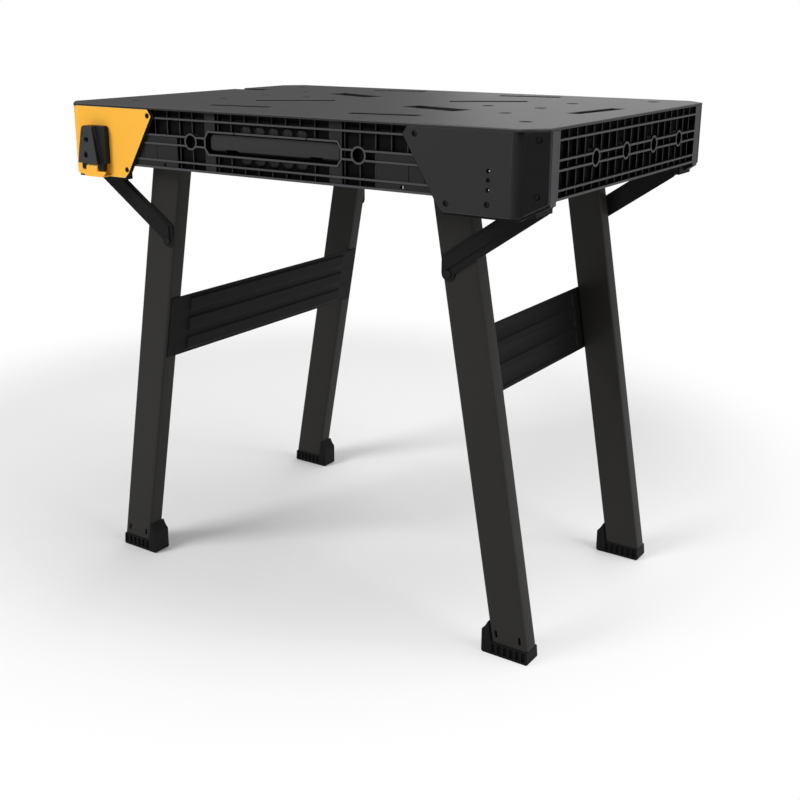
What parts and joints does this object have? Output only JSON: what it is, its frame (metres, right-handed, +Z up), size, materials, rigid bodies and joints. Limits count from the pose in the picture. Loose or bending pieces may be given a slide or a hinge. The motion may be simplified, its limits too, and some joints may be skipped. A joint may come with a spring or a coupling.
{
  "type": "folding workbench",
  "caption": "Folding workbench: ribbed plastic top with dog holes and clamp slots, on two pairs of splayed steel legs with struts and a latch.",
  "frame": {"origin": "on the floor, below the middle of the bench's outline, latch included", "axes": "+Z up, +X along the bench's length, front with the carrying handle towards -Y"},
  "size_m": [0.88, 0.635, 0.8],
  "materials": {
    "charcoal_plastic": "grained, satin",
    "black_plastic": "moulded, satin",
    "yellow_plastic": "moulded, semi gloss",
    "black_coated_steel": "powder coated, satin",
    "zinc_steel": "zinc plated",
    "black_rubber": "matt",
    "black_nylon": "moulded"
  },
  "bodies": {
    "bench_body": {"top_deck": "charcoal_plastic", "front_rail": "black_plastic", "rear_rail": "black_plastic", "left_end_rail": "black_plastic", "right_end_rail": "black_plastic", "handle_grip": "black_plastic", "handle_guard": "black_plastic", "latch_base": "yellow_plastic", "latch_pin": "zinc_steel", "corner_housing_front_left": "black_plastic", "corner_housing_rear_left": "black_plastic", "corner_housing_front_right": "black_plastic", "corner_housing_rear_right": "black_plastic", "corner_plate_front_left": "yellow_plastic", "corner_plate_rear_left": "black_plastic", "corner_plate_front_right": "black_plastic", "corner_plate_rear_right": "black_plastic", "guide_track_front_left": "black_coated_steel", "guide_track_rear_left": "black_coated_steel", "guide_track_front_right": "black_coated_steel", "guide_track_rear_right": "black_coated_steel", "strut_upper_pin_front_left": "zinc_steel", "strut_upper_pin_rear_left": "zinc_steel", "strut_upper_pin_front_right": "zinc_steel", "strut_upper_pin_rear_right": "zinc_steel"},
    "shoe_carriage_left": {"glide_shoe_front_left": "black_nylon", "glide_shoe_rear_left": "black_nylon", "leg_pivot_pin_front_left": "zinc_steel", "leg_pivot_pin_rear_left": "zinc_steel"},
    "leg_pair_left": {"leg_tube_front_left": "black_coated_steel", "leg_tube_rear_left": "black_coated_steel", "foot_front_left": "black_rubber", "foot_rear_left": "black_rubber", "cross_panel_left": "black_coated_steel"},
    "strut_pair_left": {"strut_front_left": "black_coated_steel", "strut_rear_left": "black_coated_steel", "strut_lower_pin_front_left": "zinc_steel", "strut_lower_pin_rear_left": "zinc_steel"},
    "shoe_carriage_right": {"glide_shoe_front_right": "black_nylon", "glide_shoe_rear_right": "black_nylon", "leg_pivot_pin_front_right": "zinc_steel", "leg_pivot_pin_rear_right": "zinc_steel"},
    "leg_pair_right": {"leg_tube_front_right": "black_coated_steel", "leg_tube_rear_right": "black_coated_steel", "foot_front_right": "black_rubber", "foot_rear_right": "black_rubber", "cross_panel_right": "black_coated_steel"},
    "strut_pair_right": {"strut_front_right": "black_coated_steel", "strut_rear_right": "black_coated_steel", "strut_lower_pin_front_right": "zinc_steel", "strut_lower_pin_rear_right": "zinc_steel"},
    "latch_lever": {"latch_lever": "black_plastic"}
  },
  "joints": [
    {"name": "leg_fold_left", "type": "hinge", "parent": "shoe_carriage_left", "child": "leg_pair_left", "pos_m": [-0.2365, 0.0105, 0.7375], "axis": [0, -1, 0], "range_deg": [0, 100]},
    {"name": "shoe_slide_left", "type": "slide", "parent": "bench_body", "child": "shoe_carriage_left", "axis": [-1, 0, 0], "range_m": [0, 0.1242]},
    {"name": "strut_swing_left", "type": "hinge", "parent": "bench_body", "child": "strut_pair_left", "pos_m": [-0.4075, 0.0105, 0.70875], "axis": [0, -1, 0], "range_deg": [0, 51.03]},
    {"name": "leg_fold_right", "type": "hinge", "parent": "shoe_carriage_right", "child": "leg_pair_right", "pos_m": [0.25826, 0.0105, 0.7275], "axis": [0, 1, 0], "range_deg": [0, 100.02]},
    {"name": "shoe_slide_right", "type": "slide", "parent": "bench_body", "child": "shoe_carriage_right", "axis": [1, 0, 0], "range_m": [0, 0.11836]},
    {"name": "strut_swing_right", "type": "hinge", "parent": "bench_body", "child": "strut_pair_right", "pos_m": [0.4075, 0.0105, 0.69501], "axis": [0, 1, 0], "range_deg": [0, 54.51]},
    {"name": "latch_swing", "type": "hinge", "parent": "bench_body", "child": "latch_lever", "pos_m": [-0.357, -0.307, 0.699], "axis": [1, 0, 0], "range_deg": [0, 90]}
  ],
  "couplings": [
    {"joint": "shoe_slide_left", "follows": "leg_fold_left", "m_per_rad": 0.071048},
    {"joint": "strut_swing_left", "follows": "leg_fold_left", "ratio": 0.51015},
    {"joint": "leg_fold_right", "follows": "leg_fold_left", "ratio": 1},
    {"joint": "shoe_slide_right", "follows": "leg_fold_left", "m_per_rad": 0.0677},
    {"joint": "strut_swing_right", "follows": "leg_fold_left", "ratio": 0.54486}
  ]
}
